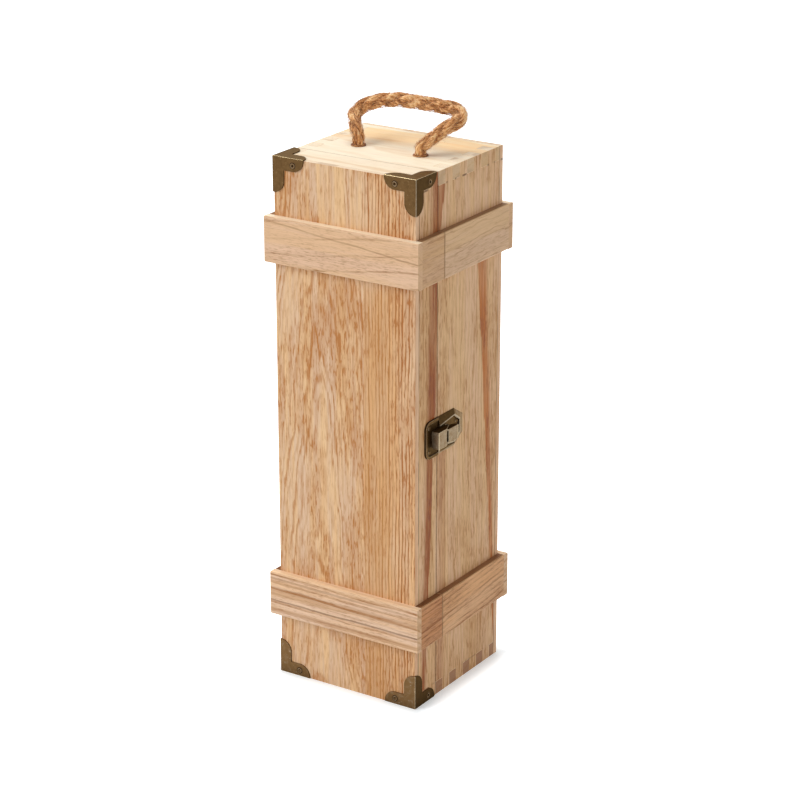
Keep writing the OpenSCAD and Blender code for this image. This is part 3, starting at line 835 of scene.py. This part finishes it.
def make_collars(seed):
    """Fibres crushed into a ring where the rope goes into each of its two holes."""
    rng = random.Random(seed)
    bpy.ops.object.select_all(action="DESELECT")
    rings = []
    for side in (-1, 1):
        bpy.ops.mesh.primitive_torus_add(major_segments=56, minor_segments=10, major_radius=COLLAR_R,
                                         minor_radius=0.7 * MM, generate_uvs=True,
                                         location=(side * ROPE_SPAN / 2, 0, BOX_TOP + 0.2 * MM))
        ring = bpy.context.object
        bpy.ops.object.transform_apply(location=True, rotation=True, scale=True)
        for vertex in ring.data.vertices:
            out = Vector((vertex.co.x - side * ROPE_SPAN / 2, vertex.co.y, 0))
            outwards = 1 if out.length > COLLAR_R else 0
            vertex.co += out.normalized() * rng.uniform(-0.1, 0.45) * MM * outwards
            vertex.co.z += rng.uniform(-0.1, 0.25) * MM
        rings.append(ring)
        ring.select_set(False)
    collars = joined(rings, "rope_collars")
    layer = collars.data.uv_layers[0]
    layer.name = "strand"
    for corner in layer.data:
        corner.uv.x *= 0.03
    hollow = collars.data.attributes.new("hollow", "FLOAT", "POINT")
    for vertex in collars.data.vertices:
        hollow.data[vertex.index].value = rng.uniform(0.3, 1.1)
    bpy.ops.object.shade_smooth()
    collars.data.materials.append(JUTE)
    collars.select_set(False)
    return collars


def make_knot(side):
    """Overhand knot pulled tight under the board, with its short tail cut square."""
    top = Vector((side * ROPE_SPAN / 2, 0, BOX_TOP - BOARD_T))
    loop = [(0, 0, 3), (0, 0, 0.5), (2.6, -2.2, -2.2), (4.4, 0.6, -4.6), (1.4, 4.2, -6), (-3.4, 3, -5.2),
            (-4.6, -1.4, -6.2), (-1.2, -4.4, -8.2), (3.4, -2.8, -9.6), (3, 1.4, -10.6), (0.4, 1, -12.6),
            (0, 0, -15), (0, 0, -18.5), (0.3, 0.2, -22.6)]
    route = [top + Vector((side * p[0], p[1], p[2])) * MM for p in loop]
    path, length = smooth_line(route, 0.8 * MM)
    name = "rope_knot_left" if side < 0 else "rope_knot_right"
    return laid_rope(name, path, length, lambda share: 0.97, corners=14)


rope, rope_path, rope_length = make_handle()
hairs = make_hairs(rope_path, short=5600, long=50, seed=4)
collars = make_collars(seed=8)
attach(collars, "tray")
for piece in (rope, hairs):
    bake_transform(piece)
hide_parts("rope_handle")
for side, node in ((-1, "rope_end_left"), (1, "rope_end_right")):
    knot = make_knot(side)
    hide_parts(node)
    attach(knot, "tray")


# ---------- pine boards ----------

# Each board's golden ground, its rosier ground and its dark lines
TAN = (238, 198, 150), (229, 195, 162), (186, 122, 68)
GOLD = (238, 192, 142), (232, 195, 156), (174, 108, 56)
MUTED = (224, 184, 137), (224, 185, 148), (176, 125, 76)
CREAM = (250, 237, 211), (250, 236, 212), (226, 190, 146)
HEARTWOOD, AMBER = paint(180, 118, 57), paint(210, 150, 88)
PANEL = dict(rim_depth=0.6, end_depth=0.85, end_tint=(246, 226, 196))

FLAME = pine("flame_grain_pine", "panel", (0, 0, 0), TAN, Ring_width=2.9, Heart_x=-20, Heart_y=-36,
             Taper=0.024, Wander=18, Line_width=0.25, Rings=0.62, Fibre=0.8, Flecks=0.6, Clouds=0.4,
             **PANEL)
MIDDLE_TINT = streak(0.5, paint(206, 150, 92), Centre=24.0, Half=14, Lean=0.0, Sway=6.0, Crisp=-1.0,
                     To=284.0)
STRAIGHT = pine("straight_grain_pine", "panel", (0, 0, 0), GOLD, (MIDDLE_TINT,), Ring_width=2.3,
                Heart_x=-160, Heart_y=20, Taper=0, Wander=4, Line_width=0.24, Jag=0.7, Waver=2.2,
                Rings=1.0, Fibre=0.7, Flecks=0.6, Clouds=0.25, **PANEL)
BACK_FLAME = pine("back_flame_pine", "panel", (30, 60, 700), TAN, Ring_width=4.0, Heart_x=14, Heart_y=125,
                  Taper=0.03, Wander=18, Rings=0.5, Fibre=0.6, Flecks=0.4, Clouds=0.4, **PANEL)
BACK_STRAIGHT = pine("back_straight_pine", "panel", (200, 40, 900), TAN, Ring_width=2.6, Heart_x=60,
                     Heart_y=90, Taper=0, Wander=5, Line_width=0.3, Jag=0.9, Rings=0.7, Fibre=0.6,
                     Flecks=0.4, Clouds=0.3, **PANEL)
SIDE_FIGURE = dict(Ring_width=3.4, Heart_x=90, Heart_y=30, Taper=0.004, Wander=10, Line_width=0.26,
                   Jag=1.4, Rings=0.42, Fibre=0.85, Flecks=0.6, Clouds=0.34, end_depth=0.85,
                   end_tint=(255, 240, 212))
SEAM_STREAK = streak(0.95, HEARTWOOD, "MULTIPLY", Centre=41.5, Half=2.2, Lean=-0.045, Widening=0.013,
                     Sway=3.0)
TOP_STREAK = streak(0.9, HEARTWOOD, "MULTIPLY", Centre=78.0, Half=4.6, Lean=-0.163, Sway=2.0)
FINE_LINES = streak(0.45, HEARTWOOD, "MULTIPLY", Centre=21.0, Half=5, Lean=-0.01, Sway=4.0, To=190.0)
FAR_STREAK = streak(0.95, AMBER, "MULTIPLY", Centre=-47.5, Half=0.6, Lean=0.072, Widening=0.017, Sway=3.0,
                    Crisp=1.0, To=296.0)
LID_LATCH_SIDE = pine("lid_latch_side_pine", "side", (0, 0, 0), MUTED, (SEAM_STREAK,), **SIDE_FIGURE)
TRAY_LATCH_SIDE = pine("tray_latch_side_pine", "side", (0, 0, 0), MUTED,
                       (TOP_STREAK, FINE_LINES, FAR_STREAK), **SIDE_FIGURE)
HINGE_SIDE = pine("hinge_side_pine", "side", (35, 170, 500), MUTED, **SIDE_FIGURE)
END_FIGURE = dict(Ring_width=6.0, Heart_x=-40, Heart_y=60, Taper=0.006, Wander=12, Line_width=0.12,
                  Jag=0.8, Waver=3.0, Rings=0.45, Fibre=0.4, Flecks=0.15, Clouds=0.2, end_depth=0.85,
                  end_tint=(204, 166, 122))
# Painted warm shade of the rope: a darker, warmer patch multiplied over the top board behind the handle.
ROPE_SHADE_PATCH = streak(0.85, paint(255, 228, 184), "MULTIPLY", Centre=-20.0, Half=15, Lean=0.03, Sway=12.0)
TOP_END = pine("top_end_pine", "end", (12, 0, 120), CREAM, (ROPE_SHADE_PATCH,), **END_FIGURE)
BOTTOM_END = pine("bottom_end_pine", "end", (60, 400, 420), CREAM,
                  **{**END_FIGURE, "end_tint": (148, 88, 42)})
LONG_LINE = streak(0.55, paint(156, 110, 72), Centre=304.5, Half=0.55, Lean=0.1, Sway=4.0, Crisp=1.0)
BAND_LINES = tuple(
    streak(strength, paint(*colour), Centre=centre, Half=half, Lean=lean, Sway=3.0, Crisp=crisp)
    for centre, half, lean, crisp, strength, colour in (
        (52.2, 0.6, 0.004, 1.0, 0.75, (116, 66, 34)), (59.5, 2.6, -0.01, -1.0, 0.55, (172, 118, 74)),
        (45.5, 1.6, 0.006, -1.0, 0.55, (166, 112, 70)), (67.0, 0.9, 0.012, 1.0, 0.45, (160, 108, 68))))
# Each band's upward faces blend toward a tone: painted shade on the side bands' tops, painted highlight on
# the cross bands' tops.
BAND_FIGURES = {
    ("upper", "cross_band"): dict(
        streaks=(LONG_LINE,), Ring_width=8.0, Heart_x=400, Heart_y=30, Taper=-0.013, Wander=5,
        Line_width=0.06, Jag=0.2, Waver=1.6, Rings=0.6, Fibre=0.6, Flecks=0.36, Clouds=0.12,
        top_shade=0.9, top_tone=(255, 236, 206)),
    ("upper", "side_band"): dict(
        Ring_width=3.6, Heart_x=400, Heart_y=30, Taper=0.004, Wander=20, Line_width=0.14, Jag=0.6,
        Waver=11.0, Rings=0.4, Fibre=0.4, Flecks=0.3, Clouds=0.15, top_shade=0.7),
    ("lower", "cross_band"): dict(
        streaks=BAND_LINES, Ring_width=3.6, Heart_x=160, Heart_y=30, Taper=0.002, Wander=4,
        Line_width=0.22, Jag=0.3, Waver=1.6, Rings=0.7, Fibre=0.6, Flecks=0.3, Clouds=0.1,
        top_shade=0.7, top_tone=(255, 224, 186)),
    ("lower", "side_band"): dict(
        Ring_width=3.6, Heart_x=160, Heart_y=30, Taper=0.02, Wander=6, Line_width=0.24, Jag=0.5,
        Waver=2.6, Rings=0.6, Fibre=0.65, Flecks=0.45, Clouds=0.25, top_shade=0.7)}
BAND_TONES = {
    ("upper", "cross_band"): ((232, 191, 151), (234, 195, 162), (158, 108, 66)),
    ("upper", "side_band"): ((216, 178, 136), (218, 182, 148), (160, 114, 72)),
    ("lower", "cross_band"): ((242, 202, 162), (240, 206, 176), (166, 108, 60)),
    ("lower", "side_band"): ((220, 168, 120), (220, 173, 130), (150, 98, 56))}
LID_STAIN = {"upper": (0.96, 0.93, 0.89), "lower": (0.91, 0.84, 0.78)}    # on its short side bands
BAND_FINISHES = {}


def band_pine(level, way, body):
    """The finish of the bands on one level that run one way, darker on the lid's side bands."""
    tones, maker = BAND_TONES[level, way], level
    if body == "lid" and way == "side_band":
        tones = [[part * share for part, share in zip(tone, LID_STAIN[level])] for tone in tones]
        maker = f"lid_{level}"
    name = f"{maker}_{way}_pine"
    if name not in BAND_FINISHES:
        BAND_FINISHES[name] = pine(name, way, (0, 0, 0), tones, Fineness=1.5, **BAND_FIGURES[level, way])
    return BAND_FINISHES[name]


BOARDS = {
    "lid_panel_wide": FLAME, "lid_panel_narrow": STRAIGHT,
    "tray_panel_wide": BACK_FLAME, "tray_panel_narrow": BACK_STRAIGHT,
    "lid_right_side": LID_LATCH_SIDE, "tray_right_side": TRAY_LATCH_SIDE,
    "lid_left_side": HINGE_SIDE, "tray_left_side": HINGE_SIDE,
    "lid_top_end": TOP_END, "tray_top_end": TOP_END,
    "lid_bottom_end": BOTTOM_END, "tray_bottom_end": BOTTOM_END}
for body in ("lid", "tray"):
    for level in ("upper", "lower"):
        for place in ("front" if body == "lid" else "back", "left", "right"):
            way = "side_band" if place in ("left", "right") else "cross_band"
            BOARDS[f"{body}_{level}_band_{place}"] = band_pine(level, way, body)

BOARD_EASE = 0.22 * MM


def band_easing(band, edge):
    """The bands meet flush at the box's corners, so their edges stay sharp there."""
    meets = all(abs(abs(band.data.vertices[i].co.y) - BOX_BACK) < 0.05 * MM for i in edge.vertices)
    return 0.0 if meets else 1.0


for node, finish in BOARDS.items():
    kind = next((kind for kind in ("panel", "band") if kind in node), "board")
    board = merged_copy(node)
    ease_edges(board, BOARD_EASE, weight=band_easing if kind == "band" else None)
    dress(board, node, finish)


# ---------- brass fittings ----------

BRASS = brass("antique_brass_plate")
FOLD_EASE = 0.65 * MM                   # on the folds of the corner protectors
FITTING_EASE = 0.14 * MM
SLOPE_SHADOW_STRIP = 1.2 * MM                  # strip below the ridge of the latch's base plate, darkened as painted shadow of the lever
RING_R = 2.35 * MM                      # the ring pressed round a corner's nail
# A nail's head, from its ring inwards: width of each step and how far it rises, in mm
HEAD_STEPS = ((0.2, 0.02), (0.24, -0.12), (0.1, 0.0), (0.12, 0.26), (0.5, 0.07), (0.14, -0.06),
              (0.08, -0.4))
CAP_NAIL_ALONG = 14.6 * MM              # a corner's nail from the box's edge, along the arm
CAP_NAIL_IN = 4 * MM                    # and from the top or the underside


def rub_and_sheen_faces(piece, edge_gain, by_face):
    """How bright each face is, above or below the plain patina: wear, and painted sheen and shade that
    follow which way a face turns.
    """
    edges = piece.data.attributes["edge"].data
    mark_faces(piece, "rub_and_sheen", lambda face: by_face(face) + edge_gain * edges[face.loop_start].value)


def make_protector(node):
    """A folded corner, rounder along its three folds, worn bright with a painted highlight on the level
    ones, and with painted shade on the flange that faces right.
    """
    piece = merged_copy(node)
    low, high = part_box(node)
    outer = Vector((high.x if high.x > 0 else low.x, low.y, high.z if "top" in node else low.z))

    def roundness(_, edge):
        ends = [piece.data.vertices[i].co for i in edge.vertices]
        on_fold = sum(all(abs(end[axis] - outer[axis]) < 2e-5 for end in ends) for axis in range(3)) == 2
        return 1.0 if on_fold else 0.25

    ease_edges(piece, FOLD_EASE, steps=3, weight=roundness)

    def wear_and_painted_light(face):
        turned = sorted(abs(part) for part in face.normal)
        on_fold = turned[1] > 0.25 and (face.center - outer).length < 40 * MM
        at_fold = sum(abs(face.center[axis] - outer[axis]) < 0.5 * MM for axis in range(3)) == 2
        # Bright folds: wear, and a painted highlight that is strongest on the top front fold.
        if on_fold and at_fold:
            if abs(face.normal.z) < 0.3:
                return 0.26 if "top" in node else 0.42
            return 0.75 if abs(face.normal.x) < 0.3 else 0.24
        # Painted shade on the flange that faces right.
        if face.normal.x > 0.7:
            return -0.19
        return -0.02 if "top" in node else 0.06

    rub_and_sheen_faces(piece, 0.0, wear_and_painted_light)
    return dress(piece, node, BRASS)


def make_corner_nails():
    """Hollow-headed nails, each in a ring pressed into its flange."""
    front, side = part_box("lid_panel_wide")[0].y, BOX_SIDE
    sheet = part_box("corner_top_right")[1].x - side
    places = []
    for level in (CAP_NAIL_IN, BOX_TOP - CAP_NAIL_IN):
        for way in (-1, 1):
            places.append((Vector((way * (side - CAP_NAIL_ALONG), front - sheet, level)), -Y))
            places.append((Vector((way * (side + sheet), front + CAP_NAIL_ALONG, level)), way * X))
    bpy.ops.object.select_all(action="DESELECT")
    heads = []
    for place, out in places:
        bpy.ops.mesh.primitive_cylinder_add(vertices=28, radius=RING_R, depth=0.5 * MM,
                                            location=place - 0.13 * MM * out)
        head = bpy.context.object
        head.rotation_mode = "QUATERNION"
        head.rotation_quaternion = out.to_track_quat("Z", "Y")
        bpy.ops.object.transform_apply(location=True, rotation=True, scale=True)
        pick_faces(head, lambda face: face.normal.dot(out) > 0.9)
        for width, lift in HEAD_STEPS:
            bpy.ops.mesh.inset(thickness=width * MM, depth=0)
            if lift:
                bpy.ops.transform.translate(value=lift * MM * out)
        bpy.ops.object.mode_set(mode="OBJECT")
        mark_faces(head, "rub_and_sheen", lambda face: head_polish(face, place, out))
        heads.append(head)
        head.select_set(False)
    nails = joined(heads, "corner_nail_heads")
    bpy.ops.object.shade_smooth_by_angle(angle=math.radians(30))
    dress(nails, "corner_nails", BRASS)
    nails.select_set(False)


def head_polish(face, place, out):
    """Dark in the hollow and in the groove round the head, and worn bright on the head's own ring."""
    off = face.center - place
    reach = (off - out * off.dot(out)).length / MM
    if reach < 1.02:
        return -0.7
    if reach < 1.72:
        return 0.1
    return -0.4 if reach < 2.2 else 0.04


for node in ("corner_top_left", "corner_top_right", "corner_bottom_left", "corner_bottom_right"):
    make_protector(node)
make_corner_nails()


# Painted shade on the upward faces of the other fittings, which are also a little darker overall.
def plain_fitting(face):
    return -0.12 * max(face.normal.z, 0) - 0.05


def divide_lower_slope(plate):
    """Parts the lower slope of the base plate from a strip along its edges, so painted shadow of the lever
    can darken that.
    """
    only(plate)
    pick_faces(plate, lambda face: face.normal.z < -0.25 and face.normal.x > 0.7)
    bpy.ops.mesh.inset(thickness=SLOPE_SHADOW_STRIP, depth=0)
    bpy.ops.object.mode_set(mode="OBJECT")


def base_light_and_shade(face):
    """The base plate: its top slope is the darkest, with painted shade, and its far slopes and its ridge
    get painted highlights.
    """
    if face.normal.y > 0.31:
        return 0.4
    if face.normal.y > 0.12:
        return 0.1
    if face.normal.z > 0.25:
        return -0.17
    lift = (face.center.x - BOX_SIDE) / MM
    if face.normal.z < -0.25:
        # Painted shadow of the lever on the strip below the ridge, and a painted highlight on the rest of
        # the lower slope.
        return -0.4 if lift > 1.5 else 0.16
    return 0.2 if lift > 1.7 else -0.1


# Painted shade on the catch plate: darkest on faces near the wall and on faces that don't face out.
def catch_shade(face):
    lift = (face.center.x - BOX_SIDE) / MM
    if face.normal.x > 0.7:
        return -0.04 if lift > 1.2 else -0.22
    return -0.2


# Painted sheen on the outer and front faces of the lever and bow, and painted shade on their tops.
def lever_sheen_and_shade(face):
    if face.normal.x > 0.7:
        return 0.14
    if face.normal.y < -0.7:
        return 0.16
    return -0.2 if face.normal.z > 0.3 else -0.02


# Painted sheen and shade by the way each fitting's faces turn.
SHEEN_AND_SHADE = {"latch_base": base_light_and_shade, "catch_plate": catch_shade,
          "latch_lever": lever_sheen_and_shade, "latch_bow": lever_sheen_and_shade}
for node in ("catch_nails", "latch_nails", "lid_hinge_screws", "tray_hinge_screws",
             "upper_hinge_lid_leaf", "lower_hinge_lid_leaf", "upper_hinge_tray_leaf",
             "lower_hinge_tray_leaf", "upper_hinge_pin", "lower_hinge_pin", "latch_pivot_pin", "bow_pin",
             "catch_plate", "latch_base", "latch_lever", "latch_bow"):
    fitting = merged_copy(node)
    if node == "latch_base":
        divide_lower_slope(fitting)
    ease_edges(fitting, FITTING_EASE)
    # Eased edges of the fittings are lighter: wear, and a painted highlight.
    rub_and_sheen_faces(fitting, 0.3, SHEEN_AND_SHADE.get(node, plain_fitting))
    dress(fitting, node, BRASS)


# ---------- floor, world and lamps ----------


def seen_white(tree):
    """1 for rays that show the background: from the camera, in gloss and through glass."""
    path = tree.nodes.new("ShaderNodeLightPath")
    seen = maths("MAXIMUM", path.outputs["Is Camera Ray"], path.outputs["Is Glossy Ray"])
    return maths("MAXIMUM", seen, path.outputs["Is Transmission Ray"])


SHADOW_REACH = 18 * MM                  # how far the box's shadow shows on the white floor


def make_floor():
    """White floor that keeps the box's shadow close to its foot."""
    bpy.ops.mesh.primitive_plane_add(size=16)
    floor = bpy.context.object
    floor.name = "floor"
    material, tree, shader = new_material("white_floor")
    place = tree.nodes.new("ShaderNodeTexCoord")
    across, depth, _ = parts_of(place.outputs["Object"])
    past_side = minus(unsigned(across), BOX_SIDE)
    past_panel = minus(unsigned(depth), BOX_BACK)
    away = maths("MAXIMUM", past_side, past_panel)
    glow = smooth(away, 0.0, SHADOW_REACH, 0.3, 1.0)
    set_inputs(shader, Base_Color=(0.81, 0.86, 0.89, 1), Roughness=0.9, Specular_IOR_Level=0.0,
               Emission_Color=(1, 1, 1, 1), Emission_Strength=times(seen_white(tree), glow))
    floor.data.materials.append(material)
    floor.select_set(False)


def make_world(daylight):
    world = bpy.data.worlds.new("white_room")
    world.use_nodes = True
    bpy.context.scene.world = world
    tree = world.node_tree
    set_inputs(tree.nodes["Background"], Color=(1, 1, 1, 1),
               Strength=smooth(seen_white(tree), 0, 1, daylight, 1.0))


def area_lamp(name, place, aim, size, watts):
    bpy.ops.object.light_add(type="AREA", location=place)
    lamp = bpy.context.object
    lamp.name = name
    lamp.data.shape = "DISK"
    lamp.data.size = size
    lamp.data.energy = watts
    lamp.rotation_mode = "QUATERNION"
    lamp.rotation_quaternion = (Vector(aim) - Vector(place)).to_track_quat("-Z", "Y")
    lamp.select_set(False)


make_floor()
make_world(0.44)
area_lamp("key_lamp", (-1.25, -1.5, 1.75), (0, 0, 0.15), 1.5, 27.5)
area_lamp("top_lamp", (-0.5, 0.4, 2.0), (0, 0, 0.2), 1.4, 14.8)
area_lamp("fill_lamp", (1.9, -0.75, 0.22), (0, 0, 0.18), 1.0, 9.4)
bpy.context.scene.view_settings.view_transform = "Standard"
